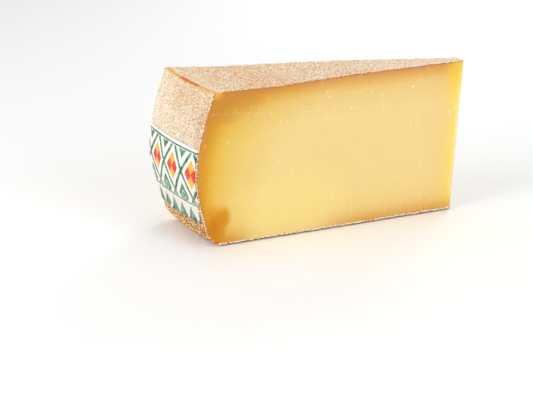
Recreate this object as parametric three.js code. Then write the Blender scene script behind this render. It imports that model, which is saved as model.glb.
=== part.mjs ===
// A wedge of hard mountain cheese, cut from a round wheel and lying on its flat side, with the
// piece of paper band that goes round the wheel still on its heel.
// Millimetres, +Z up. +X runs from the heel to the tip along the foot of the front cut, and +Y
// from the front cut to the back one. The origin is under the middle of the part's box.
import * as THREE from 'three';
import { mergeVertices } from 'three/addons/utils/BufferGeometryUtils.js';

// The wheel that the wedge comes from.
const wheelHeight = 105;
const rimRadius = 288.5; // at the sharp corners that the rounded edges stand in for
const heelBulge = 12.2; // how far the heel swells past the rim
const bulgeHeight = 49; // where the heel is widest
const bulgePowers = [1.35, 1.75]; // how the heel curves below and above its widest place
const topEdgeRadius = 1.6;
const footEdgeRadius = 10;

// The two cuts, measured from the foot of the tip, which is the construction's origin.
const axisX = 103.6; // the wheel's axis lies past the tip
const axisY = 26;
const frontTurn = 1.27; // degrees that the front cut turns from its foot to its top
const frontLean = 1.3; // how far the top of the tip stands in front of its foot
const tipLean = 6.6; // how far the top of the tip reaches past its foot
const tipWidth = 9.1;
const cutAngle = 19.65; // degrees between the foot of the front cut and the top of the back cut
const backTurn = 1.5; // degrees that the back cut turns from its foot to its top

// The slightly wavy upper rind.
const crownRise = 0.75;
const crownSkew = 1.6; // above 1 it moves the crown's highest place towards the tip
const dipDepths = [0.9, 0.7]; // at the front cut and at the back cut
const dipPlaces = [0.24, 0.18]; // along each cut, from 0 at the heel to 1 at the tip
const dipSpreads = [0.14, 0.17];
const tipRise = 0.55; // how much higher the upper rind is at the tip
const tipRiseStarts = [0.1, 0.9]; // along each cut, where the rise to the tip starts and ends
const tipRiseEnds = [0.6, 1];
const waveFade = 4; // the higher, the sooner the waves fade out below the upper rind

// The paper band.
const bandGap = 0.35;
const bandThickness = 0.5;
const bandBottom = 14;
const bandTop = 68;
const bandInset = 0.004; // share of the heel's width left bare at each cut
const tearDepth = 2.2;
const tearWaves = [3.2, 7.5]; // a slow wave and a quick one over it
const quickShare = 0.4;

const lengthSteps = 20;
const widthSteps = 16;
const heightSteps = 28;
const topEdgeSteps = 3;
const footEdgeSteps = 7;
const bandSteps = [1, 30, 12];

const lerp = THREE.MathUtils.lerp;
const wheelAxis = new THREE.Vector2(axisX, axisY);

// How far a rounded edge falls back, at a distance from the face that it runs into.
function rounding(toFace, radius) {
  const toCentre = Math.max(radius - toFace, 0);
  return radius - Math.sqrt(radius ** 2 - toCentre ** 2);
}

// How far the heel stands past the rim at height z, with its two rounded edges.
function heelProfile(z) {
  const above = z > bulgeHeight;
  const reach = above ? wheelHeight - bulgeHeight : bulgeHeight;
  const fall = (Math.abs(z - bulgeHeight) / reach) ** bulgePowers[above ? 1 : 0];
  const swell = heelBulge * (1 - fall);
  return swell - rounding(z, footEdgeRadius) - rounding(wheelHeight - z, topEdgeRadius);
}

// The tip's end at height z: across is 0 on the front cut and 1 on the back cut.
function tipPoint(across, z) {
  const up = z / wheelHeight;
  return new THREE.Vector2(tipLean * up, lerp(-frontLean * up, tipWidth - frontLean, across));
}

// The heel at height z, where a line from the tip leaves a circle round the wheel's axis.
function heelPoint(across, z, proud = 0) {
  const start = tipPoint(across, z);
  const up = z / wheelHeight;
  const turn = lerp(-frontTurn * up, cutAngle - backTurn * (1 - up), across) * THREE.MathUtils.DEG2RAD;
  const towardsHeel = new THREE.Vector2(-Math.cos(turn), Math.sin(turn));
  const fromAxis = start.clone().sub(wheelAxis);
  const along = fromAxis.dot(towardsHeel);
  const radius = rimRadius + heelProfile(z) + proud;
  const distance = Math.sqrt(along ** 2 - fromAxis.lengthSq() + radius ** 2) - along;
  return start.addScaledVector(towardsHeel, distance);
}

// How far from its face step k of a rounded edge lies, with equal turns from step to step.
function edgeStep(k, steps, radius) {
  return radius * (1 - Math.cos(Math.PI / 2 * k / steps));
}

// Level number k of the heightSteps, with short steps round the rounded edges.
function levelHeight(k) {
  if (k < footEdgeSteps) {
    return edgeStep(k, footEdgeSteps, footEdgeRadius);
  }
  if (k > heightSteps - topEdgeSteps) {
    return wheelHeight - edgeStep(heightSteps - k, topEdgeSteps, topEdgeRadius);
  }
  const share = (k - footEdgeSteps) / (heightSteps - footEdgeSteps - topEdgeSteps);
  return lerp(footEdgeRadius, wheelHeight - topEdgeRadius, share);
}

// The upper rind's rise over the flat, fading out downwards so that the foot stays flat.
function topWave(along, across, z) {
  const crown = crownRise * across * Math.sin(Math.PI * along ** crownSkew);
  const place = lerp(...dipPlaces, across);
  const spread = lerp(...dipSpreads, across);
  const dip = lerp(...dipDepths, across) * Math.exp(-(((along - place) / spread) ** 2));
  const rising = [lerp(...tipRiseStarts, across), lerp(...tipRiseEnds, across)];
  const rise = tipRise * THREE.MathUtils.smoothstep(along, ...rising);
  return (crown - dip + rise) * (z / wheelHeight) ** waveFade;
}

// A closed box of unit cells, whose corners are moved by place(along, across, up).
function bentBox(steps, place) {
  const box = new THREE.BoxGeometry(1, 1, 1, ...steps);
  box.deleteAttribute('normal');
  box.deleteAttribute('uv');
  const geometry = mergeVertices(box);
  const position = geometry.getAttribute('position');
  const corner = new THREE.Vector3();
  for (let i = 0; i < position.count; i += 1) {
    corner.fromBufferAttribute(position, i).addScalar(0.5);
    position.setXYZ(i, ...place(corner.x, corner.y, corner.z));
  }
  geometry.computeVertexNormals();
  return geometry;
}

function placeInCheese(along, across, up) {
  const z = levelHeight(Math.round(up * heightSteps));
  const spot = heelPoint(across, z).lerp(tipPoint(across, z), along);
  return [spot.x, spot.y, z + topWave(along, across, z)];
}

// The band's lower edge is torn, so it goes up and down along the heel.
function tornEdge(across) {
  const [slow, quick] = tearWaves;
  return bandBottom + tearDepth * (Math.sin(slow * across) + quickShare * Math.sin(quick * across));
}

function placeInBand(depth, across, up) {
  const side = lerp(bandInset, 1 - bandInset, across);
  const z = lerp(tornEdge(side), bandTop, up);
  const spot = heelPoint(side, z, bandGap + bandThickness * (1 - depth));
  return [spot.x, spot.y, z];
}

function namedMesh(name, geometry, colour, roughness) {
  const material = new THREE.MeshStandardMaterial({ color: colour, roughness, metalness: 0 });
  const mesh = new THREE.Mesh(geometry, material);
  mesh.name = name;
  return mesh;
}

const wedge = new THREE.Group();
const cheeseShape = bentBox([lengthSteps, widthSteps, heightSteps], placeInCheese);
wedge.add(namedMesh('cheese_wedge', cheeseShape, 0xeecb7c, 0.5));
wedge.add(namedMesh('paper_band', bentBox(bandSteps, placeInBand), 0xf3efe6, 0.85));

// The origin goes under the middle of the box round both pieces.
const middle = new THREE.Box3().setFromObject(wedge).getCenter(new THREE.Vector3());
wedge.position.set(-middle.x, -middle.y, 0);

const group = new THREE.Group();
group.add(wedge);
export default group;
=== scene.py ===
import functools
import math
import random

import bmesh
import bpy
from mathutils import Euler, Matrix, Vector, noise


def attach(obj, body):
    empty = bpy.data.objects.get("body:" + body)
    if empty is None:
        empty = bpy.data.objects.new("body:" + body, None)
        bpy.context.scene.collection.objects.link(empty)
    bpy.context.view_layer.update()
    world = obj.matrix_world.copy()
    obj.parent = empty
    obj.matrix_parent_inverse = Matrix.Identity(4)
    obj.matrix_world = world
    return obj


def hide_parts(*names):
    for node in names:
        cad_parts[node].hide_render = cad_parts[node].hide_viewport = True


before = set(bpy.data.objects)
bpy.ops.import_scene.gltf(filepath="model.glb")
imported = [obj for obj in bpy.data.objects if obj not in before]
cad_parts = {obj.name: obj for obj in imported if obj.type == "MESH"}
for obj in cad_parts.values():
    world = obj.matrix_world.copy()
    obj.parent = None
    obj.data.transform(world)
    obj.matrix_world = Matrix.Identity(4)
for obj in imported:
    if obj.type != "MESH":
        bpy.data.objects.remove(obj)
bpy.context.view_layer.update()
mm = 0.001  # every size below is in millimetres, and is turned into metres where a mesh is written
print("the frame is loaded")

# The wedge, worked out as the frame's own solid is
wedge = {
    "height": 105,
    "rimRadius": 288.5,
    "heelBulge": 12.2,
    "bulgeHeight": 49,
    "bulgePowers": (1.35, 1.75),  # below and above the widest place
    "topEdgeRadius": 1.6,
    "footEdgeRadius": 10,
    "axis": (103.6, 26),  # the wheel's axis, from the foot of the tip
    "frontTurn": 1.27,
    "frontLean": 1.3,
    "tipLean": 6.6,
    "tipWidth": 9.1,
    "cutAngle": 19.65,
    "backTurn": 1.5,
    "crownRise": 0.75,
    "crownSkew": 1.6,
    "dipDepths": (0.9, 0.7),  # at the front cut and at the back cut, like the two below
    "dipPlaces": (0.24, 0.18),
    "dipSpreads": (0.14, 0.17),
    "tipRise": 0.55,
    "tipRiseStarts": (0.1, 0.9),
    "tipRiseEnds": (0.6, 1),
    "cutLength": 188,  # about, for what only needs to know how far along a cut it is
    "heelWidth": 80,
}


def findTipFoot():
    feet = [v.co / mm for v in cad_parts["cheese_wedge"].data.vertices if v.co.z < 1e-6]
    reach = max(p.x for p in feet)
    return min((p for p in feet if reach - p.x < 0.01), key=lambda p: p.y).to_2d()


tipFoot = findTipFoot()
wheelAxis = Vector(wedge["axis"]) + tipFoot


def lerp(a, b, share):
    return a + (b - a) * share


def rise(value, low, high):  # 0 below low, 1 above high, and smooth between them
    share = min(1, max(0, (value - low) / (high - low)))
    return share * share * (3 - 2 * share)


def rounding(toFace, radius):  # how far a rounded edge falls back, at a distance from its face
    toCentre = max(radius - max(toFace, 0), 0)
    return radius - math.sqrt(radius**2 - toCentre**2)


def heelSwell(z):
    above = z > wedge["bulgeHeight"]
    reach = wedge["height"] - wedge["bulgeHeight"] if above else wedge["bulgeHeight"]
    fall = (abs(z - wedge["bulgeHeight"]) / reach) ** wedge["bulgePowers"][above]
    return wedge["heelBulge"] * (1 - min(fall, 1))


def turnAt(across, z):  # how far a line from the tip turns from the foot of the front cut
    up = z / wedge["height"]
    back = wedge["cutAngle"] - wedge["backTurn"] * (1 - up)
    return math.radians(lerp(-wedge["frontTurn"] * up, back, across))


def tipAt(across, z):
    up = z / wedge["height"]
    front = -wedge["frontLean"] * up
    return tipFoot + Vector((wedge["tipLean"] * up, lerp(front, wedge["tipWidth"] - wedge["frontLean"], across)))


def heelAt(across, z, proud=0):
    start = tipAt(across, z)
    turn = turnAt(across, z)
    towardsHeel = Vector((-math.cos(turn), math.sin(turn)))
    fromAxis = start - wheelAxis
    along = fromAxis.dot(towardsHeel)
    edges = rounding(z, wedge["footEdgeRadius"]) + rounding(wedge["height"] - z, wedge["topEdgeRadius"])
    radius = wedge["rimRadius"] + heelSwell(z) - edges + proud
    return start + towardsHeel * (math.sqrt(along**2 - fromAxis.length_squared + radius**2) - along)


def topWave(along, across):
    crown = wedge["crownRise"] * across * math.sin(math.pi * max(0, along) ** wedge["crownSkew"])
    depth, place, spread = (lerp(*wedge[name], across) for name in ("dipDepths", "dipPlaces", "dipSpreads"))
    rising = (lerp(*wedge[name], across) for name in ("tipRiseStarts", "tipRiseEnds"))
    return crown - depth * math.exp(-(((along - place) / spread) ** 2)) + wedge["tipRise"] * rise(along, *rising)


@functools.cache
def cheeseAt(along, across, up):  # a unit box bent into the wedge: heel to tip, front to back, foot to top
    z = wedge["height"] * up
    spot = heelAt(across, z).lerp(tipAt(across, z), along)
    return Vector((spot.x, spot.y, z + topWave(along, across) * up**4))


def cutSpot(across, inwards, z):  # a point on the front (0) or back (1) cut, so far in from the tip
    tip = tipAt(across, z)
    spot = tip + (heelAt(across, z) - tip).normalized() * inwards
    return Vector((spot.x, spot.y, z))


def outOfCut(across, z=50):
    turn = turnAt(across, z)
    out = Vector((math.sin(turn), math.cos(turn), 0))
    return out if across else -out


# Materials. A Signal is one output of a node, and sums on it add Math nodes
def colour(hexText):
    parts = [int(hexText[i : i + 2], 16) / 255 for i in (0, 2, 4)]
    return tuple(c / 12.92 if c <= 0.04045 else ((c + 0.055) / 1.055) ** 2.4 for c in parts)


class Signal:
    def __init__(self, finish, socket):
        self.finish = finish
        self.socket = socket

    def sum(self, operation, *others):
        return self.finish.add("Math", {"operation": operation}, dict(enumerate((self, *others))))

    def __add__(self, other):
        return self.sum("ADD", other)

    def __radd__(self, other):
        return self.sum("ADD", other)

    def __sub__(self, other):
        return self.sum("SUBTRACT", other)

    def __rsub__(self, other):
        return self.finish.add("Math", {"operation": "SUBTRACT"}, {0: other, 1: self})

    def __mul__(self, other):
        return self.sum("MULTIPLY", other)

    def __rmul__(self, other):
        return self.sum("MULTIPLY", other)

    def __truediv__(self, other):
        return self.sum("DIVIDE", other)

    def __abs__(self):
        return self.sum("ABSOLUTE")

    def __mod__(self, other):
        return self.sum("FLOORED_MODULO", other)

    def floor(self):
        return self.sum("FLOOR")

    def least(self, other):
        return self.sum("MINIMUM", other)

    def most(self, other):
        return self.sum("MAXIMUM", other)

    def rise(self, low, high):  # 0 below low, 1 above high, and smooth between them
        limits = {"Value": self, "From Min": low, "From Max": high}
        return self.finish.add("MapRange", {"interpolation_type": "SMOOTHSTEP"}, limits)

    def fall(self, low, high):
        return 1 - self.rise(low, high)


class Finish:
    def __init__(self, name, **constants):
        self.material = bpy.data.materials.new(name)
        self.material.use_nodes = True
        self.nodes = self.material.node_tree.nodes
        self.links = self.material.node_tree.links
        self.shader = next(n for n in self.nodes if n.type == "BSDF_PRINCIPLED")
        for socket, value in constants.items():
            self.shader.inputs[socket.replace("_", " ")].default_value = value

    def feed(self, socket, value):
        if isinstance(value, Signal):
            self.links.new(value.socket, socket)
        elif socket.type == "RGBA":
            socket.default_value = (*value, 1)
        else:
            socket.default_value = value

    def add(self, kind, settings=None, values=None, output=0):
        node = self.nodes.new("ShaderNode" + kind)
        for setting, value in (settings or {}).items():
            if setting == "stops":
                self.setStops(node.color_ramp, value)
            else:
                setattr(node, setting, value)
        for socket, value in (values or {}).items():
            self.feed(node.inputs[socket], value)
        return Signal(self, node.outputs[output])

    def setStops(self, ramp, stops):
        while len(ramp.elements) < len(stops):
            ramp.elements.new(1)
        for element, (place, tint) in zip(ramp.elements, stops):
            element.position = place
            element.color = (*tint, 1)

    def ramp(self, value, stops):
        return self.add("ValToRGB", {"stops": stops}, {0: value})

    def mix(self, share, first, second, blend="MIX"):
        settings = {"data_type": "RGBA", "blend_type": blend}
        return self.add("Mix", settings, {0: share, 6: first, 7: second}, output=2)

    def parts(self, vector):
        node = self.add("SeparateXYZ", None, {0: vector}).socket.node
        return [Signal(self, socket) for socket in node.outputs]

    def attribute(self, name, output="Vector"):
        return self.add("Attribute", {"attribute_name": name}, output=output)

    def place(self):  # the spot on the piece, in millimetres
        spot = self.add("TexCoord", output="Object")
        return self.add("VectorMath", {"operation": "SCALE"}, {0: spot, "Scale": 1000})

    def stretched(self, vector, x, y, z):
        return self.add("VectorMath", {"operation": "MULTIPLY"}, {0: vector, 1: (x, y, z)})

    def speckle(self, vector, size, detail=2, roughness=0.5):  # size in millimetres
        values = {"Vector": vector, "Scale": 1 / size, "Detail": detail, "Roughness": roughness}
        return self.add("TexNoise", None, values)

    def ridges(self, vector, size):  # 1 along winding crests, 0 between them
        return 1 - (abs(self.speckle(vector, size, 1) - 0.5) * 7).least(1)

    def dots(self, vector, spacing):  # millimetres to the nearest of many scattered points, and its lot
        node = self.add("TexVoronoi", None, {"Vector": vector, "Scale": 1 / spacing}).socket.node
        lot = self.parts(Signal(self, node.outputs["Color"]))[0]
        return Signal(self, node.outputs["Distance"]) * spacing, lot

    def finishWith(self, tint, roughness=None, height=None, depth=0.1):
        self.feed(self.shader.inputs["Base Color"], tint)
        if roughness is not None:
            self.feed(self.shader.inputs["Roughness"], roughness)
        if height is not None:
            bump = self.add("Bump", None, {"Height": height, "Distance": depth * mm})
            self.feed(self.shader.inputs["Normal"], bump)
        return self.material


# The paste, darker towards the rind on every side. The clear yellow at the thin tip is a painted glow of light
# shining through it.
# Each row is a depth and the colour there, as a change from the straw colour in the middle
paste = {
    "straw": "f3dc9b",
    "reach": 60,
    "underTop": (
        (0, "d29561"),
        (2, "d89e60"),
        (4, "e0ab5c"),
        (6, "e6b666"),
        (8.5, "eac474"),
        (11, "edce87"),
        (17, "f0d592"),
        (28, "f3dc9b"),
    ),
    "fromHeel": (
        (0, "d69a50"),
        (2, "d8973c"),
        (3.8, "da982b"),
        (7.5, "e0a52b"),
        (11, "e7b641"),
        (15, "ebc14f"),
        (22, "edc867"),
        (34, "f0d07a"),
        (56, "f2d78f"),
        (60, "f3d892"),
    ),
    "aboveFoot": (
        (0, "daa065"),
        (4, "e2b265"),
        (6, "e7bb6b"),
        (8, "ebc579"),
        (10, "edcd87"),
        (15, "f1d691"),
        (21, "f3da97"),
        (30, "f3dc9b"),
    ),
    # Painted glow: light shining through the thin tip, painted clear yellow and near white at the very edge
    "fromTip": (
        (0, "fff7e0"),
        (1, "fff3b4"),
        (2.5, "ffe680"),
        (4, "fbe178"),
        (7, "f6dc86"),
        (12, "f3d991"),
        (18, "f2d997"),
        (26, "f2db9a"),
        (36, "f2dc9b"),
    ),
    # Also painted glow: near the tip the darkening under the top turns clear yellow, as if light shines through
    "tipTop": ((0, "eebf4e"), (9, "f2d260"), (18, "f3da84"), (28, "f3dc9b")),  # where the tip is near
    "tipReach": (4, 19),
    "cornerReach": 0.52,
    "darkest": "d18d2e",
    # How strong the darkening above the foot is along the front cut: near the heel, then past the middle
    "footShare": 0.13,
    "footHeel": (-74, -52),
    "footTip": (-26, 24),
    # Painted glow of light shining through the upper corner by the heel
    "paintedGlow": "ecbb4e",
    "glowFrom": (0.2, 1.6),  # in from the heel, where the glow starts
    "glowTo": (2.5, 9.5),
    "glowDown": (0.5, 7),
    # Soft blotches: their middle, half their width and height, their colour, strength and soft edge. The second is
    # a painted pool of light bounced up onto the low cut, and the last three are a painted cast shadow, deep
    # orange, low by the heel.
    "blotchesAndPaintedLight": (
        {"at": (-78, 97), "size": (26, 15), "tint": "cb8c3e", "strength": 0.5, "edge": (0, 1.25)},
        {"at": (-30, 23), "size": (46, 27), "tint": "fbe58c", "strength": 0.42, "edge": (0, 1.25)},
        {"at": (-86, 20.5), "size": (9.3, 8.3), "tint": "dd9203", "strength": 0.85, "edge": (-0.3, 1.6)},
        {"at": (-84.8, 13), "size": (7, 9.5), "tint": "ce7f02", "strength": 1.05, "edge": (-0.3, 1.6)},
        {"at": (-79.6, 19.8), "size": (5, 6.6), "tint": "dc9000", "strength": 0.95, "edge": (-0.3, 1.7)},
    ),
    "rindLine": "b4682f",
    "heelLine": "c46a26",
    "lineWidth": 0.8,
    "crust": "f3d9a8",
    # Brown in the crust's pits, and painted shade of the gap along its lowest edge
    "crustPitAndGapShade": "9c6234",
    "crustWidth": 1.6,
    "pale": "fbf0cc",
    "amber": "e8ac3c",
    # Hairlines where the curd has parted: two ends, each with its place and height
    "cracks": (((-92, 90.8), (34, 80.6), 0.2), ((62, 12.2), (80, 14.4), 0.25)),
}


def against(hexText, base):
    return tuple(a / b for a, b in zip(colour(hexText), colour(base)))


def pasteRamp(finish, name, depth):
    stops = [(far / paste["reach"], against(shade, paste["straw"])) for far, shade in paste[name]]
    return finish.ramp(depth / paste["reach"], stops)


def pasteFinish():
    finish = Finish(
        "cheese paste",
        IOR=1.42,
        Specular_IOR_Level=0.25,
        Subsurface_Weight=0.25,
        Subsurface_Radius=(1, 0.5, 0.12),
        Subsurface_Scale=0.005,
    )
    place = finish.place()
    x, y, z = finish.parts(place)
    underTop, fromHeel, aboveFoot = finish.parts(finish.attribute("depths"))
    fromTip = finish.attribute("fromTip", "Fac")
    toRind = finish.attribute("toRind", "Fac")
    heelReach = 1 + z.rise(55, 105) * paste["cornerReach"] - z.fall(20, 57) * 0.3
    topReach = 1 + fromHeel.fall(10, 70) * 0.34
    wander = (finish.speckle(place, 16, 2) - 0.5) * 3
    depths = {
        "underTop": underTop / topReach,
        "fromHeel": fromHeel / heelReach + z.fall(25, 55) * 2.2,
        "aboveFoot": aboveFoot,
        "fromTip": fromTip,
    }
    footShare = x.fall(*paste["footHeel"]).most(x.rise(*paste["footTip"])).most(paste["footShare"])
    tint = colour(paste["straw"])
    for name, depth in depths.items():
        shaded = pasteRamp(finish, name, depth + wander * (depth / 14).least(1))
        if name == "underTop":
            shaded = finish.mix(fromTip.fall(*paste["tipReach"]), shaded, pasteRamp(finish, "tipTop", underTop))
        share = footShare if name == "aboveFoot" else 1
        tint = finish.mix(share, tint, shaded, "MULTIPLY")
    tint = finish.mix(1, tint, colour(paste["darkest"]), "LIGHTEN")
    onFront = y.fall(-10, 0)
    # The second blotch is a painted pool of bounced light, the last three a painted cast shadow
    for blotch in paste["blotchesAndPaintedLight"]:
        (middleX, middleZ), (wide, tall) = blotch["at"], blotch["size"]
        sideways, upwards = (x - middleX) / wide, (z - middleZ) / tall
        away = sideways * sideways + upwards * upwards + (finish.speckle(place, 9, 1) - 0.5) * 1.2
        share = away.fall(*blotch["edge"]) * onFront * blotch["strength"]
        tint = finish.mix(share, tint, colour(blotch["tint"]))
    # A painted glow in the upper corner by the heel: light shining through the paste there, painted amber
    paintedGlow = fromHeel.rise(*paste["glowFrom"]) * fromHeel.fall(*paste["glowTo"]) * underTop.fall(*paste["glowDown"])
    tint = finish.mix(paintedGlow * 0.85, tint, colour(paste["paintedGlow"]))
    # Faint upright marks of the blade
    marks = finish.speckle(finish.stretched(place, 1, 1, 0.05), 0.8, 2, 0.6)
    streaks = marks.rise(0.54, 0.7) * finish.speckle(place, 18, 2).rise(0.45, 0.65) * x.rise(-60, 20)
    tint = finish.mix(streaks * 0.3, tint, colour(paste["pale"]))
    # Soft pale spots, thickest near the heel and the top, a few with an amber middle
    away, lot = finish.dots(place, 5.5)
    size = 0.45 + lot * 0.9
    spot = (away / size).fall(0.55, 1) * (lot * 7 % 1).rise(0.35, 0.45)
    often = 0.3 + 0.7 * (fromHeel.fall(30, 110) * z.rise(15, 50)).most(z.rise(50, 85) * z.fall(97, 101))
    clear = fromHeel.rise(8, 60) * underTop.rise(6, 30)
    tint = finish.mix(spot * often * (0.18 + 0.36 * clear), tint, colour(paste["pale"]))
    pore = (away / size).fall(0.2, 0.4) * lot.rise(0.9, 0.92)
    tint = finish.mix(pore * often * 0.4, tint, colour(paste["amber"]))
    crackDepth = 0
    for (startX, startZ), (endX, endZ), strength in paste["cracks"]:
        slope = (endZ - startZ) / (endX - startX)
        line = startZ + slope * (x - startX) + (finish.speckle(place, 9, 2) - 0.5) * 3
        broken = finish.speckle(place, 3, 3, 0.6).rise(0.42, 0.6)
        within = x.rise(startX, startX + 4) * x.fall(endX - 6, endX)
        lip = abs(z - line).fall(0.1, 0.8) * broken * within
        hollow = abs(z - line - 0.8).fall(0.1, 0.6) * broken * within
        tint = finish.mix(hollow * strength * 0.3, tint, colour(paste["amber"]))
        tint = finish.mix(lip * strength, tint, colour(paste["pale"]))
        crackDepth = crackDepth + hollow * strength
    # The cut rind: a thin brown line under the top and at the heel, a crumbly crust below. The crust's pits are
    # brown, and its lowest edge is painted dark brown as shade of the gap under it.
    grain = finish.speckle(place, 0.9, 2)
    narrow = paste["lineWidth"]
    topLine = (underTop + (grain - 0.5) * 0.9).fall(narrow * 0.4, narrow)
    heelLine = (toRind + (grain - 0.5) * 0.8).fall(narrow * 1.2, narrow * 2.1) * aboveFoot.rise(2, 4)
    tint = finish.mix(heelLine * (1 - paintedGlow) * 0.36, tint, colour(paste["heelLine"]))
    tint = finish.mix(topLine * (1 - paintedGlow) * 0.7, tint, colour(paste["rindLine"]))
    crust = (aboveFoot + (finish.speckle(place, 1.6, 3) - 0.5) * 1.6).fall(0.7, paste["crustWidth"])
    # No lumps at the very foot, so the dark pit colour there is painted shade of the gap
    lumps = finish.speckle(place, 1.1, 2).rise(0.4, 0.55) * aboveFoot.rise(0.2, 0.9)
    crumb = finish.mix(lumps, colour(paste["crustPitAndGapShade"]), colour(paste["crust"]))
    tint = finish.mix(crust * 0.9, tint, crumb)
    height = marks * 0.4 + finish.speckle(place, 0.6, 3) * 0.4 - crackDepth * 2 + grain * crust * 4
    return finish.finishWith(tint, 0.4 + 0.2 * finish.speckle(place, 2, 3) + crust * 0.3, height, 0.1)


# The rind: pale winding crests over sandy tan, orange and brown in the pits
rind = {
    "heel": ("c78240", "dcb57e", "e8e1cb", "f1f5f2"),
    "top": ("d48636", "e9c479", "f2e7c8", "f6f9f6"),
    "foot": ("7c3a13", "d17936", "ffc076", "ffe8b2"),
    "levels": (0.08, 0.36, 0.6, 0.86),
    # How much the grain shows in the colour, far behind the front cut and what comes on top of that
    "contrast": {"base": 1.3, "nearCut": 0.4, "edge": 2.2, "top": 1.75, "low": 2.7},
    "coarse": 0.4,  # the share of lumps in the grain below the band
    "edge": "f8f0e5",
    "patch": "eeb67e",
    "warmTop": (-80, -44, -8),  # along the top, where its orange patch starts, is strongest and ends
    "orange": "dc9650",
    # Painted light: the heel turns paler towards the back cut, as if more light falls there
    "back": "fdfaee",
    "paintedLightFrom": (22, 74),  # behind the front cut, over which the heel turns paler
    "palerDown": (2, 38),  # under the top, over which it does so downwards
    "tipPale": "f8eadf",
    "footFrom": (15, 24),
    "amber": "e8ac4c",
    "rust": "cf7412",
    "rustWider": 0.2,  # how much wider than the amber the rusty stretch is
    "rustFrom": (17, 45),  # behind the front cut
    # The pale ridge colour is partly a smoother rind and partly a painted highlight along the rounded top edge
    "paleRidgeAndHighlight": "f3e0d4",
    "rimWidth": 2,
    "rimDown": 0.45,  # how far the amber reaches down the heel, as a share of its width
    "rimOnTop": 1.45,  # and how far over the top
    "rimRagged": 1.9,
}


def rindFinish():
    finish = Finish(
        "cheese rind",
        Specular_IOR_Level=0.2,
        Subsurface_Weight=0.1,
        Subsurface_Radius=(1, 0.6, 0.3),
        Subsurface_Scale=0.0015,
    )
    place = finish.place()
    x, y, _ = finish.parts(place)
    behindCut = y - tipFoot.y
    underTop, fromHeel, aboveFoot = finish.parts(finish.attribute("depths"))
    relief = finish.attribute("relief", "Fac")
    fine = finish.speckle(place, 0.42, 2, 0.7)
    winding = finish.ridges(place, 1.1)
    away, lot = finish.dots(place, 0.75)
    onHeel = fromHeel.fall(1.4, 1.7).most(aboveFoot.fall(10, 12)) * underTop.rise(0.2, 1)
    low = aboveFoot.fall(*rind["footFrom"]) * onHeel
    uneven = (relief - 0.5) * 0.5 + (fine - 0.5) * 0.8 + (winding - 0.4) * 0.1 + (0.38 - away) * 0.95
    uneven = uneven + (finish.speckle(place, 1.3, 2, 0.6) - 0.5) * low * rind["coarse"]
    more = rind["contrast"]
    nearCut = behindCut.fall(2, 55) * onHeel
    atEdge = behindCut.fall(1, 6.5) * onHeel * (1 - low) * underTop.rise(3, 14)
    strength = more["base"] + nearCut * more["nearCut"] + atEdge * more["edge"]
    strength = strength + (1 - onHeel) * more["top"] + low * more["low"]
    byCut = behindCut.fall(4, 22) * underTop.rise(12, 34) * 0.04
    downwards = (underTop.rise(*rind["palerDown"]) * 0.11 - 0.06 + byCut) * onHeel * (1 - low)
    level = 0.5 + uneven * strength + nearCut * 0.03 + downwards
    shades = {}
    for name in ("heel", "top", "foot"):
        stops = [(where, colour(shade)) for where, shade in zip(rind["levels"], rind[name])]
        shades[name] = finish.ramp(level, stops)
    # Painted light: the heel is painted paler towards the back, as if lit more there
    pale = finish.mix(level.rise(0.1, 0.6), shades["heel"], colour(rind["back"]))
    shades["heel"] = finish.mix(behindCut.rise(*rind["paintedLightFrom"]) * 0.65, shades["heel"], pale)
    shades["top"] = finish.mix(x.rise(0, 100) * 0.45, shades["top"], colour(rind["tipPale"]))
    tint = finish.mix(onHeel, shades["top"], shades["heel"])
    tint = finish.mix(atEdge, tint, colour(rind["edge"]), "MULTIPLY")
    tint = finish.mix(low, tint, shades["foot"])
    warmStart, warmest, warmEnd = rind["warmTop"]
    warmTop = x.rise(warmStart, warmest) * x.fall(warmest, warmEnd) * (1 - onHeel)
    patches = (finish.speckle(place, 20, 2).rise(0.5, 0.68) * 0.2).most(warmTop * 0.22)
    warm = finish.mix(1, tint, colour(rind["patch"]), "MULTIPLY")
    tint = finish.mix(patches, tint, warm)
    grains = lot.rise(0.75, 0.8) * away.fall(0.2, 0.5) * finish.speckle(place, 9, 2).rise(0.42, 0.6)
    tint = finish.mix(grains * 0.7, tint, colour(rind["orange"]))
    # The worn upper edge of the heel shows amber, with a smooth pale ridge above it that also carries a painted
    # highlight along the rounded edge
    fromRim = (underTop / rind["rimDown"]).most(fromHeel / rind["rimOnTop"])
    fromRim = fromRim + (finish.speckle(place, 1.2, 2) - 0.5) * rind["rimRagged"]
    rustNear, rustFar = rind["rustFrom"]
    rusty = behindCut.rise(rustNear - 4, rustNear + 4) * behindCut.fall(rustFar - 4, rustFar + 4)
    rusty = rusty * finish.speckle(place, 3, 2).rise(0.27, 0.42)
    worn = (fromRim - rusty * rind["rustWider"]).fall(rind["rimWidth"] * 0.65, rind["rimWidth"])
    edge = finish.mix(rusty, colour(rind["amber"]), colour(rind["rust"]))
    paleRidgeAndHighlight = underTop.fall(0.1, 0.4) * fromHeel.fall(2.5, 6.5) * (0.35 + 0.65 * behindCut.fall(10, 60))
    tint = finish.mix(paleRidgeAndHighlight * 0.5, tint, colour(rind["paleRidgeAndHighlight"]))
    tint = finish.mix(worn * 0.95, tint, edge)
    height = fine * 0.6 + winding * 0.6 - away * 0.8
    return finish.finishWith(tint, 0.7 + 0.25 * fine, height, 0.09)


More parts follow.
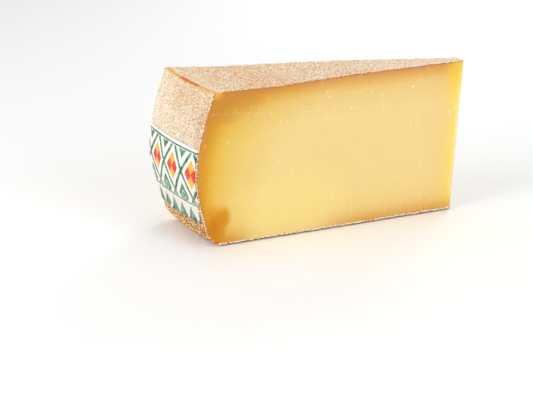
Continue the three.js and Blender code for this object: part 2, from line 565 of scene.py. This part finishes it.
# The solid wedge of cheese
cheese = {
    "firstSteps": (24, 10, 14),  # heel to tip, front to back, foot to top
    "cells": {"heel": 0.38, "top": 0.5, "covered": 1.5, "cut": 0.6, "widest": 3.6},
    "cellGrowth": 0.32,
    "wormSize": 1.5,
    "pebbleSize": 0.95,
    "weave": (2.6, 1.75),  # the imprint of the cloth, sideways and upwards
    "heelGrain": 0.27,
    "footGrain": 1.6,  # how much deeper the grain is below the band
    "topGrain": 0.2,
    "dimpleSize": 7,
    "dimple": 0.28,
    "covered": (17, 67),  # heights between which the paper covers the heel
    "coveredShare": 0.15,
    "cutWave": 0.2,
    "tipRounding": 0.7,
    "footLump": 0.5,
    "footHeight": 1.7,
    "footLift": 1.25,
    "footLiftReach": 5,
    "footLiftTall": 4,
}


def onSides(co):
    low, high = 1e-6, 1 - 1e-6
    names = ("heel", "tip", "front", "back", "foot", "top")
    return dict(zip(names, (co.x < low, co.x > high, co.y < low, co.y > high, co.z < low, co.z > high)))


def depthsAt(point, along, across):  # under the top, in from the sharp heel, above the foot
    fromAxis = (point.to_2d() - wheelAxis).length
    underTop = wedge["height"] + topWave(along, across) - point.z
    fromHeel = wedge["rimRadius"] + heelSwell(point.z) - fromAxis
    return Vector((underTop, fromHeel, point.z))


def roundedDepths(depths):  # the same from the real surface, also where the lower edge is rounded
    radius = wedge["footEdgeRadius"]
    sideways, down = radius - depths.y, radius - depths.z
    if sideways <= 0 or down <= 0:
        return depths, min(depths)
    reach = math.hypot(sideways, down)
    toRind = radius - reach
    share = (down / reach) ** 2
    return Vector((depths.x, lerp(toRind, radius, share), lerp(radius, toRind, share))), toRind


def isCovered(z):
    low, high = cheese["covered"]
    return low < z < high


def fromUnderside(co, point):  # from a point of the underside to its nearest edge
    toCut = min(co.y, 1 - co.y) * lerp(wedge["heelWidth"], wedge["tipWidth"], co.x)
    return min(toCut, depthsAt(point, co.x, co.y).y - wedge["footEdgeRadius"])


def wantedCell(co, point):
    cells = cheese["cells"]
    sides = onSides(co)
    if sides["heel"]:
        return cells["covered"] if isCovered(point.z) else cells["heel"]
    if sides["top"]:
        return cells["top"]
    near = fromUnderside(co, point) if sides["foot"] else min(depthsAt(point, co.x, co.y))
    fromTip = (1 - co.x) * wedge["cutLength"]
    return min(cells["widest"], cells["cut"] + cheese["cellGrowth"] * max(0, min(near, fromTip)))


def splitLongEdges(bm, rounds=7):
    for _ in range(rounds):
        tooLong = []
        for edge in bm.edges:
            a, b = (v.co for v in edge.verts)
            middle = (a + b) / 2
            if (cheeseAt(*a) - cheeseAt(*b)).length > 1.35 * wantedCell(middle, cheeseAt(*middle)):
                tooLong.append(edge)
        if not tooLong:
            break
        bmesh.ops.subdivide_edges(bm, edges=tooLong, cuts=1, use_grid_fill=True)
        bmesh.ops.triangulate(bm, faces=[f for f in bm.faces if len(f.verts) > 4])


def rindOutward(point, depths):
    radial = (point.to_2d() - wheelAxis).normalized().to_3d()
    below = depths.z < wedge["footEdgeRadius"]
    radius = wedge["footEdgeRadius"] if below else wedge["topEdgeRadius"]
    upwards = depths.z - radius if below else max(0, radius - depths.x)
    return (radial * max(0.001, radius - depths.y) + Vector((0, 0, upwards))).normalized()


def worms(point):  # 1 along winding crests, below 0 between them
    spot = point / cheese["wormSize"]
    warped = spot + noise.noise_vector(spot * 0.6) * 0.4
    return 1 - 4 * abs(noise.noise(warped))


def pebbles(point):
    spot = point / cheese["pebbleSize"]
    return 1 - 2.2 * noise.voronoi(spot + noise.noise_vector(spot) * 0.3)[0][0]


def weave(point):  # what is left of the cloth that the wheel was pressed in
    sideways, upwards = cheese["weave"]
    shift = noise.noise(point / 7) * 2
    return math.sin(math.tau * point.y / sideways + shift) * math.sin(math.tau * point.z / upwards + shift)


def grainAt(point, onHeel):  # from about -1 in a pit to 1 on a crest
    if onHeel:
        low = 1 - rise(point.z, 12, 22)
        fine = 0.15 * worms(point) + 0.6 * pebbles(point) + 0.3 * weave(point)
        return lerp(fine, 0.75 * worms(point) + 0.3 * pebbles(point) - 0.15, low)
    return 0.7 * pebbles(point) + 0.3 * worms(point)


def reliefAt(point, depths, onHeel):
    grain = cheese["heelGrain"] if onHeel else cheese["topGrain"]
    patch = 0.8 + 0.6 * noise.noise(point / 16)
    if onHeel:
        patch *= lerp(cheese["footGrain"], 1, rise(point.z, 10, 22))
    share = cheese["coveredShare"] if onHeel and isCovered(point.z) else 1
    atRim = rise(depths.x + depths.y, 1.5, 5)
    dimple = cheese["dimple"] * noise.fractal(point / cheese["dimpleSize"], 1, 2, 3)
    return share * (grainAt(point, onHeel) * grain * patch * lerp(0.2, 1, atRim) + dimple)


def cutShift(point, sides, toRind):
    onCut = sides["front"] or sides["back"]
    wave = cheese["cutWave"] * noise.noise(point / 28)
    rough = 0.16 * noise.noise(point / 1.3) * (1 - rise(toRind, 0, 2.5))
    atFoot = 1 - rise(point.z, 0, cheese["footHeight"])
    lump = cheese["footLump"] * atFoot * (noise.noise(point / 1.5) + 0.5 * noise.noise(point / 0.7) - 0.35)
    outwards = outOfCut(sides["back"], point.z) if onCut else Vector((0, 0, 0))
    if sides["tip"]:
        outwards = (outwards + Vector((1, 0, 0))).normalized()
    return outwards * (wave + rough + lump)


def roundTip(point, sides):
    radius = cheese["tipRounding"]
    shift = Vector((0, 0, 0))
    tips = [tipAt(side, point.z) for side in (0, 1)]
    toEdge = [(tip - point.to_2d()).length for tip in tips]
    for side, name in ((0, "front"), (1, "back")):
        if sides[name]:
            shift -= outOfCut(side, point.z) * rounding(toEdge[side], radius)
    if sides["tip"]:
        shift.x -= rounding(min(toEdge), radius)
    return shift


def footLift(point, co):  # the underside's rim stands a little off the floor
    near = min(fromUnderside(co, point), (1 - co.x) * wedge["cutLength"])
    bumps = 0.6 + 0.6 * noise.noise(point / 6) + 0.35 * noise.noise(point / 1.8)
    atEdge = 1 - rise(near, 0, cheese["footLiftReach"])
    return cheese["footLift"] * atEdge * max(0.1, bumps) * max(0, 1 - point.z / cheese["footLiftTall"])


def newPiece(name, bm, *finishes):
    mesh = bpy.data.meshes.new(name)
    bm.to_mesh(mesh)
    bm.free()
    piece = bpy.data.objects.new(name, mesh)
    bpy.context.collection.objects.link(piece)
    for finish in finishes:
        mesh.materials.append(finish)
    print(name, "has", len(mesh.polygons), "faces")
    return piece


def buildCheese():
    bm = bmesh.new()
    bmesh.ops.create_cube(bm, size=1)
    bmesh.ops.translate(bm, verts=bm.verts, vec=(0.5, 0.5, 0.5))
    for axis, steps in enumerate(cheese["firstSteps"]):
        edges = [e for e in bm.edges if abs((e.verts[0].co - e.verts[1].co)[axis]) > 0.5]
        bmesh.ops.subdivide_edges(bm, edges=edges, cuts=steps - 1, use_grid_fill=True)
    splitLongEdges(bm)
    for face in bm.faces:
        sides = onSides(face.calc_center_median())
        face.material_index = 1 if sides["heel"] or sides["top"] or sides["foot"] else 0
        face.smooth = True
    for edge in bm.edges:
        edge.smooth = len({face.material_index for face in edge.link_faces}) == 1
    layers = bm.verts.layers
    depthLayer = layers.float_vector.new("depths")
    rindLayer = layers.float.new("toRind")
    tipLayer = layers.float.new("fromTip")
    reliefLayer = layers.float.new("relief")
    for vert in bm.verts:
        co = vert.co.copy()
        sides = onSides(co)
        point = cheeseAt(*co).copy()
        depths = depthsAt(point, co.x, co.y)
        vert[depthLayer], toRind = roundedDepths(depths)
        vert[rindLayer] = toRind
        vert[tipLayer] = (tipAt(co.y, point.z) - point.to_2d()).length
        vert[reliefLayer] = 0.5
        shift = Vector((0, 0, 0))
        if sides["heel"] or sides["top"]:
            vert[reliefLayer] = 0.5 + 0.4 * grainAt(point, sides["heel"])
            shift += rindOutward(point, depths) * reliefAt(point, depths, sides["heel"])
        if sides["front"] or sides["back"] or sides["tip"]:
            shift += cutShift(point, sides, toRind) + roundTip(point, sides)
        shift.z += footLift(point, co)
        point += shift
        point.z = max(point.z, 0)
        vert.co = point * mm
    return newPiece("cheese", bm, pasteFinish(), rindFinish())


def rideAs(piece, slot, *nodes):
    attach(piece, "root")
    if nodes:
        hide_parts(*nodes)


cheesePiece = buildCheese()
rideAs(cheesePiece, "cheese_paste", "cheese_wedge")

# The paper band on the heel
band = {
    "gap": 0.5,
    "thickness": 0.16,
    "bottom": 14,
    "top": 68,
    "inset": 0.004,
    "tearDepth": 2.2,
    "tearWaves": (3.2, 7.5),
    "cells": (190, 120),
    "fray": 0.9,
    "jag": 0.011,  # share of the width by which the edge at the front cut is ragged
    "tornCorner": 0.06,  # share of the width torn away at the lower end of the front cut
    "emboss": 0.13,
    "flute": 0.2,
    "holeAcross": 0.66,
    "paper": "fbf9f6",
    "shadow": "efe7e0",
    "low": "e6dad0",
    "green": "336f4e",
    "greenLight": "5f9677",
    "red": "ee3a36",
    "yellow": "f8b838",
    "tile": (27, 34),  # width and height of one lozenge of the print
    "firstTile": (6, 50),
    "line": 0.055,  # half of a line's width, as a share of a tile
    "warmGem": 0.29,  # half of a gem's width, as a share of a tile
    "greenGem": 0.25,
    "gemSlit": (0.07, 0.1),
    "teeth": (13.5, 11, 15.5),  # width, height and lowest level of the lower border
    "rules": (29, 65.4),
    "ruleWidth": 0.6,
}


def tornEdge(across):
    slow, quick = band["tearWaves"]
    return band["bottom"] + band["tearDepth"] * (math.sin(slow * across) + 0.4 * math.sin(quick * across))


def bandAt(across, up):
    torn = band["tornCorner"] * (1 - rise(up, 0.05, 0.38)) * (0.75 + 0.9 * noise.noise(Vector((up * 30, 2, 7))))
    jag = band["jag"] * (0.6 + noise.fractal(Vector((up * 26, 4, 1)), 0.6, 2, 4))
    side = lerp(band["inset"] + max(0, torn) + max(0, jag), 1 - band["inset"], across)
    ragged = noise.fractal(Vector((side * 30, 3, 1)), 0.7, 2, 5) * band["fray"]
    fromHole = side - band["holeAcross"]
    notch = 1.6 * math.exp(-((fromHole / 0.018) ** 2))
    z = lerp(tornEdge(side) + ragged + notch, band["top"] + 0.2 * noise.noise(Vector((side * 9, 8, 4))), up)
    spot = heelAt(side, z)
    point = Vector((spot.x, spot.y, z))
    emboss = band["emboss"] * (grainAt(point, True) * 0.6 + noise.noise(point / 5))
    fluting = band["flute"] * noise.noise(Vector((side * 26, z / 26, 3))) * (1 - rise(z, 35, 55))
    lip = 1.1 * math.exp(-((fromHole / 0.03) ** 2)) * (1 - rise(up, 0.01, 0.07))
    curl = (1 - rise(up, 0, 0.05)) * max(0, 0.7 * noise.noise(Vector((side * 17, 2, 5))))
    return point + outOfWheel(point) * (band["gap"] + emboss + fluting + curl + lip)


def outOfWheel(point):
    return (point.to_2d() - wheelAxis).normalized().to_3d()


def bandFinish():
    finish = Finish("band paper", Roughness=0.8, Specular_IOR_Level=0.25)
    place = finish.place()
    across, height, _ = finish.parts(finish.attribute("onBand"))
    wobble = finish.speckle(place, 5, 2) - 0.5
    tileWide, tileTall = band["tile"]
    firstX, firstZ = band["firstTile"]
    stepX = (across + wobble - firstX) / tileWide
    stepZ = (height + wobble - firstZ) / tileTall
    # A lattice of lozenges, each with a smaller one inside
    rising, falling = stepX + stepZ + 0.5, stepX - stepZ + 0.5
    row = abs(rising.floor() - falling.floor()) % 2
    insideA, insideB = rising % 1 - 0.5, falling % 1 - 0.5
    fromMiddle = abs(insideA).most(abs(insideB))
    lowRule, highRule = band["rules"]
    within = height.rise(lowRule + 0.8, lowRule + 1.2) * height.fall(highRule - 1.2, highRule - 0.8)
    lattice = fromMiddle.rise(0.5 - band["line"] - 0.012, 0.5 - band["line"])
    quarter = (insideA * insideB).rise(-0.001, 0.001)
    warmGem = fromMiddle.fall(band["warmGem"], band["warmGem"] + 0.015) * (1 - row)
    slitFrom, slitTo = band["gemSlit"]
    slit = fromMiddle.rise(slitFrom, slitFrom + 0.012) * fromMiddle.fall(slitTo, slitTo + 0.012)
    greenGem = fromMiddle.fall(band["greenGem"], band["greenGem"] + 0.015) * (1 - slit) * row
    # A border of teeth below
    toothWide, toothTall, toothFoot = band["teeth"]
    slope = abs((across + wobble) / toothWide % 1 - 0.5) * 2
    tooth = (height - toothFoot - toothTall * slope).fall(-0.2, 0.2) * height.rise(toothFoot - 0.2, toothFoot + 0.2)
    rules = sum(abs(height + wobble * 0.6 - level).fall(band["ruleWidth"] - 0.1, band["ruleWidth"] + 0.1)
                for level in band["rules"])
    green = ((lattice + greenGem) * within + rules + tooth).least(1)
    # Ink wears off the crests of the paper, most of all low down
    worn = finish.speckle(place, 0.9, 3, 0.7).rise(0.3, 0.5)
    creases = finish.ridges(finish.stretched(place, 1, 1, 0.5), 3.2).rise(0.6, 1) * height.fall(24, 44) * 0.35
    faded = finish.speckle(finish.stretched(place, 1, 1, 0.3), 6, 3)
    tint = finish.mix(finish.speckle(place, 3, 3), colour(band["paper"]), colour(band["shadow"]))
    lines = finish.speckle(finish.stretched(place, 1, 1, 0.3), 1.6, 2).rise(0.35, 0.65)
    tint = finish.mix(height.fall(22, 52) * (0.35 + 0.5 * lines), tint, colour(band["low"]))
    ink = finish.mix(faded.rise(0.42, 0.62), colour(band["green"]), colour(band["greenLight"]))
    tint = finish.mix(green * (0.72 + 0.28 * worn) * (1 - creases), tint, ink)
    gem = finish.mix(quarter, colour(band["yellow"]), colour(band["red"]))
    tint = finish.mix(warmGem * within * (0.8 + 0.2 * worn), tint, gem)
    return finish.finishWith(tint, 0.75 + 0.1 * wobble, finish.speckle(place, 0.7, 3), 0.06)


def layOnBand(bm):  # how far along the heel from the front cut, and how high
    layer = bm.verts.layers.float_vector.new("onBand")
    arcRadius = wedge["rimRadius"] + wedge["heelBulge"]
    for vert in bm.verts:
        point = vert.co / mm
        start = heelAt(0, point.z) - wheelAxis
        turn = start.angle_signed(point.to_2d() - wheelAxis)
        vert[layer] = (turn * arcRadius, point.z, 0)


def buildBand():
    bm = bmesh.new()
    across, up = band["cells"]
    bmesh.ops.create_grid(bm, x_segments=across, y_segments=up, size=0.5)
    for vert in bm.verts:
        vert.co = bandAt(vert.co.x + 0.5, vert.co.y + 0.5) * mm
    outside = bmesh.ops.extrude_face_region(bm, geom=bm.faces[:], use_keep_orig=True)
    for vert in outside["geom"]:
        if isinstance(vert, bmesh.types.BMVert):
            vert.co += outOfWheel(vert.co / mm) * band["thickness"] * mm
    bmesh.ops.recalc_face_normals(bm, faces=bm.faces)
    for face in bm.faces:
        face.smooth = True
    layOnBand(bm)
    return newPiece("band", bm, bandFinish())


bandPiece = buildBand()
rideAs(bandPiece, "band_paper", "paper_band")


def addLump(bm, centre, size, turn, segments=1):  # a small uneven stone, size along its three axes
    middle = centre * mm
    matrix = Matrix.LocRotScale(middle, turn, Vector(size) * mm)
    made = bmesh.ops.create_icosphere(bm, subdivisions=segments, radius=1, matrix=matrix)
    for vert in made["verts"]:
        swell = 1 + 0.3 * noise.noise(vert.co / mm * 2.3)
        vert.co = middle + (vert.co - middle) * swell


def anyTurn(dice):
    return Euler([dice.uniform(0, math.tau) for _ in range(3)]).to_quaternion()


def smoothAll(bm):
    for face in bm.faces:
        face.smooth = True


# Small white crystals in both cuts and the tip
crystals = {
    # On the front cut: how far in from the tip, the height and the radius
    "main": (
        (39.6, 91.8, 0.62),
        (47.6, 27.9, 0.6),
        (138.2, 52.7, 0.62),
        (106.0, 96.1, 0.5),
        (104.2, 92.5, 0.48),
        (87.2, 83.0, 0.55),
        (16.9, 9.4, 0.42),
        (99.7, 68.8, 0.52),
        (77.7, 29.9, 0.42),
        (102.3, 12.4, 0.46),
        (169.6, 51.5, 0.36),
        (41.3, 11.4, 0.44),
        (42.2, 13.0, 0.34),
        (113.0, 72.5, 0.42),
        (115.7, 43.5, 0.48),
        (128.3, 41.1, 0.44),
        (128.2, 42.6, 0.4),
        (58.8, 12.5, 0.46),
        (62.9, 80.1, 0.46),
        (154.1, 57.5, 0.42),
        (185.3, 48.2, 0.44),
        (128.0, 47.2, 0.4),
        (71.0, 92.0, 0.36),
        (64.5, 31.6, 0.38),
        (49.4, 23.2, 0.38),
        (100.0, 84.4, 0.4),
        (77.6, 84.9, 0.4),
        (75.2, 84.5, 0.36),
    ),
    "mainGrowth": 1.02,
    "crescent": {"in": 8.4, "height": 70.4, "tall": 5, "thick": 0.45, "bend": 1.1},
    "scattered": {0: 110, 1: 110},
    "sizes": (0.16, 0.36),
    "flecks": {"count": 26, "from": 61, "to": 150, "spread": 1.5, "sizes": (0.16, 0.36)},
    "white": "fffaf0",
    "cream": "fbefd4",
    "honey": "e4b054",
    "honeyFrom": (-60, -42),  # along the cut, over which the crystals turn from honey to white
}


def crystalFinish():
    finish = Finish("crystals", Roughness=0.6, Subsurface_Weight=0.2, Subsurface_Scale=0.001)
    place = finish.place()
    x, _, _ = finish.parts(place)
    cloud = finish.speckle(place, 12, 2).rise(0.35, 0.65)
    tint = finish.mix(cloud, colour(crystals["white"]), colour(crystals["cream"]))
    honey = x.fall(*crystals["honeyFrom"]) * 0.85
    return finish.finishWith(finish.mix(honey, tint, colour(crystals["honey"])))


def addCrystal(bm, dice, across, inwards, z, radius):  # pressed flat into a cut
    turn = outOfCut(across, z).to_track_quat("Z", "Y")
    spin = Euler((0, 0, dice.uniform(0, math.tau))).to_quaternion()
    size = (radius * dice.uniform(0.9, 1.3), radius * dice.uniform(0.85, 1.2), radius * 0.6)
    addLump(bm, cutSpot(across, inwards, z), size, turn @ spin, 2 if radius > 0.36 else 1)


def buildCrystals():
    dice = random.Random(11)
    bm = bmesh.new()
    for inwards, z, radius in crystals["main"]:
        addCrystal(bm, dice, 0, inwards, z, radius * crystals["mainGrowth"])
    for across, count in crystals["scattered"].items():
        for _ in range(count):
            inwards = wedge["cutLength"] * dice.random() ** 0.62
            z = 6 + 94 * dice.random() ** 0.85
            radius = dice.uniform(*crystals["sizes"])
            addCrystal(bm, dice, across, inwards, z, radius)
    flecks = crystals["flecks"]
    (startX, startZ), (endX, endZ), _ = paste["cracks"][0]
    for _ in range(flecks["count"]):  # thickest where the hairline ends
        inwards = lerp(flecks["from"], flecks["to"], dice.random() ** 2)
        share = (tipFoot.x - inwards - startX) / (endX - startX)
        z = lerp(startZ, endZ, share) + dice.gauss(0, flecks["spread"])
        addCrystal(bm, dice, 0, inwards, z, dice.uniform(*flecks["sizes"]))
    crescent = crystals["crescent"]
    for step in range(9):  # a flake like a new moon
        share = step / 4 - 1
        z = crescent["height"] + share * crescent["tall"] / 2
        inwards = crescent["in"] - crescent["bend"] * (1 - share**2)
        radius = crescent["thick"] * (1.25 - abs(share))
        addCrystal(bm, dice, 0, inwards, z, radius)
    smoothAll(bm)
    return newPiece("crystals", bm, crystalFinish())


crystalPiece = buildCrystals()
rideAs(crystalPiece, "crystals")

# Loose grains of rind along the cut edges
crumbs = {
    "foot": {"spacing": 1.15, "sizes": (0.5, 0.9), "stretch": (1.6, 0.85, 0.95), "base": 1.6},
    "top": {"spacing": 1.35, "sizes": (0.28, 0.62), "stretch": (1.2, 0.8, 0.8), "base": wedge["height"] - 0.1},
    "heel": {"spacing": 1.4, "sizes": (0.35, 0.72), "stretch": (1, 1, 1)},
    "cream": "f8e6c6",
    "tan": "d79c60",
    # The brown on the crumbs' undersides is painted shade of the gap under the edge
    "brown": "8a5228",
    "gapShadeFrom": (0.7, 1.3),  # heights over which the brown underside turns cream
}


def crumbFinish():
    finish = Finish("rind crumbs", Roughness=0.8, Specular_IOR_Level=0.2)
    place = finish.place()
    _, _, z = finish.parts(place)
    patch = finish.speckle(place, 2.2, 2).rise(0.34, 0.5)
    tint = finish.mix(patch, colour(crumbs["tan"]), colour(crumbs["cream"]))
    # Painted shade: the crumbs turn dark brown low down, where the gap under the edge is
    tint = finish.mix(z.fall(*crumbs["gapShadeFrom"]) * 0.85, tint, colour(crumbs["brown"]))
    return finish.finishWith(tint, 0.8, finish.speckle(place, 0.3, 2), 0.06)


def crumbSize(dice, kind):
    radius = dice.uniform(*crumbs[kind]["sizes"])
    return [radius * side * dice.uniform(0.7, 1.25) for side in crumbs[kind]["stretch"]]


def buildCrumbs():
    dice = random.Random(5)
    bm = bmesh.new()
    for across in (0, 1):
        for kind in ("foot", "top"):
            base = crumbs[kind]["base"]
            out = outOfCut(across, base)
            length = (heelAt(across, base) - tipAt(across, base)).length
            alongEdge = Vector((1, 0, 0)).rotation_difference(Vector((-out.y, out.x, 0)))
            inwards = 1.0
            while inwards < length - 1:
                inwards += crumbs[kind]["spacing"] * dice.uniform(0.4, 1.6)
                size = crumbSize(dice, kind)
                lift = topWave(1 - inwards / length, across) if kind == "top" else 0
                centre = cutSpot(across, inwards, base) + Vector((0, 0, lift + dice.uniform(-0.25, 0.3)))
                centre.z = max(centre.z, max(size[1:]) + 0.1)
                wobble = Euler([dice.uniform(-0.4, 0.4) for _ in range(3)]).to_quaternion()
                addLump(bm, centre + out * dice.uniform(-0.2, 0.15), size, alongEdge @ wobble)
        z = 3
        while z < wedge["height"] - 2:
            z += crumbs["heel"]["spacing"] * dice.uniform(0.4, 1.6)
            size = crumbSize(dice, "heel")
            spot = heelAt(across, z)
            centre = Vector((spot.x, spot.y, z)) + outOfCut(across, z) * dice.uniform(-0.25, 0.05)
            inside = max(0, wedge["footEdgeRadius"] - z) * 0.1
            addLump(bm, centre + Vector((dice.uniform(-0.35, 0.12) + inside, 0, 0)), size, anyTurn(dice))
    smoothAll(bm)
    return newPiece("rind_crumbs", bm, crumbFinish())


crumbPiece = buildCrumbs()
rideAs(crumbPiece, "cheese_rind")

# Shreds of paper and rind that the blade left over the edge
shreds = {
    # On the front edge of the heel: height, length and how far it leans up
    "overEdge": ((80, 2.4, 0.9), (75, 1.4, 0.2), (62, 2.2, 0.7), (53, 2.6, 0.6), (51, 1.6, -0.3), (41, 1.5, 0.2)),
    "lower": {"count": 16, "heights": (14, 34), "lengths": (1.0, 2.6)},
    "thickness": 0.28,
}


def addShred(bm, root, towards, length, thickness):
    turn = towards.to_track_quat("Z", "X")
    matrix = Matrix.LocRotScale((root + towards * length / 2) * mm, turn, Vector((1, 0.45, 1)))
    sizes = {"radius1": thickness * mm, "radius2": thickness * 0.25 * mm, "depth": length * mm}
    bmesh.ops.create_cone(bm, cap_ends=True, segments=6, matrix=matrix, **sizes)


def buildShreds():
    dice = random.Random(23)
    bm = bmesh.new()
    for z, length, lean in shreds["overEdge"]:
        spot = heelAt(0, z)
        root = Vector((spot.x - 0.3, spot.y - 0.1, z))
        towards = Vector((1, -0.35, lean)).normalized()
        addShred(bm, root, towards, length, shreds["thickness"])
    lower = shreds["lower"]
    for _ in range(lower["count"]):
        z = dice.uniform(*lower["heights"])
        spot = heelAt(dice.uniform(0.004, 0.055), z, 0.35)
        towards = Vector((dice.uniform(-0.1, 0.4), dice.uniform(-1, 0.3), dice.uniform(-1, 0.6))).normalized()
        root = Vector((spot.x, spot.y, z))
        addShred(bm, root, towards, dice.uniform(*lower["lengths"]), shreds["thickness"])
    smoothAll(bm)
    finish = Finish("torn paper", Roughness=0.85, Specular_IOR_Level=0.2)
    fibre = finish.speckle(finish.place(), 1.5, 2)
    return newPiece("paper_shreds", bm, finish.finishWith(finish.mix(fibre, colour("fffaf0"), colour("f0dcc0"))))


shredPiece = buildShreds()
rideAs(shredPiece, "band_paper")

# Floor, light and camera
studio = {
    "floorSize": 8,
    "floor": "fcfcfc",
    "worldStrength": 0.5,
    "lens": 127.06,  # mm on a 36 mm wide sensor
    "turn": 27.33,  # degrees from +Y towards +X
    "pitch": 17.24,
    "eye": (-127.5, -1247.5, 389.5),  # from the foot of the tip: right, ahead, up
    "lamps": {
        "key": {"at": (-1100, -900, 800), "size": 900, "watts": 8.7},
        "side": {"at": (-760, -55, 250), "size": 500, "watts": 0.5},
        "top": {"at": (0, 200, 1300), "size": 1200, "watts": 3},
        "fill": {"at": (800, -1000, 600), "size": 900, "watts": 5.7},
        "behind": {"at": (300, 1000, 500), "size": 500, "watts": 3},
    },
}


def fromTipFoot(right, ahead, up):  # a spot seen from the foot of the tip along the camera's bearing
    turn = math.radians(studio["turn"])
    x = tipFoot.x + right * math.cos(turn) + ahead * math.sin(turn)
    y = tipFoot.y - right * math.sin(turn) + ahead * math.cos(turn)
    return Vector((x, y, up)) * mm


def buildStudio():
    scene = bpy.context.scene
    scene.view_settings.view_transform = "Standard"
    bpy.ops.mesh.primitive_plane_add(size=studio["floorSize"])
    floor = bpy.context.object
    floor.name = "floor"
    finish = Finish("floor", Roughness=0.9)
    cloud = finish.speckle(finish.place(), 400, 1)
    pale = colour(studio["floor"])
    floor.data.materials.append(finish.finishWith(finish.mix(cloud * 0.04, pale, (0.9, 0.9, 0.9))))
    world = bpy.data.worlds.new("world")
    world.use_nodes = True
    background = world.node_tree.nodes["Background"]
    background.inputs["Color"].default_value = (1, 1, 1, 1)
    background.inputs["Strength"].default_value = studio["worldStrength"]
    scene.world = world
    middle = Vector((0, 0, wedge["height"] / 2)) * mm
    for name, lamp in studio["lamps"].items():
        data = bpy.data.lights.new(name, "AREA")
        data.shape = "DISK"
        data.size = lamp["size"] * mm
        data.energy = lamp["watts"]
        light = bpy.data.objects.new(name, data)
        bpy.context.collection.objects.link(light)
        light.location = fromTipFoot(*lamp["at"])
        light.rotation_euler = (middle - light.location).to_track_quat("-Z", "Y").to_euler()
    data = bpy.data.cameras.new("camera")
    data.lens = studio["lens"]
    data.clip_start = 0.05
    eye = bpy.data.objects.new("camera", data)
    bpy.context.collection.objects.link(eye)
    eye.location = fromTipFoot(*studio["eye"])
    eye.rotation_euler = (math.radians(90 - studio["pitch"]), 0, -math.radians(studio["turn"]))
    scene.camera = eye


buildStudio()
print("the studio is set")
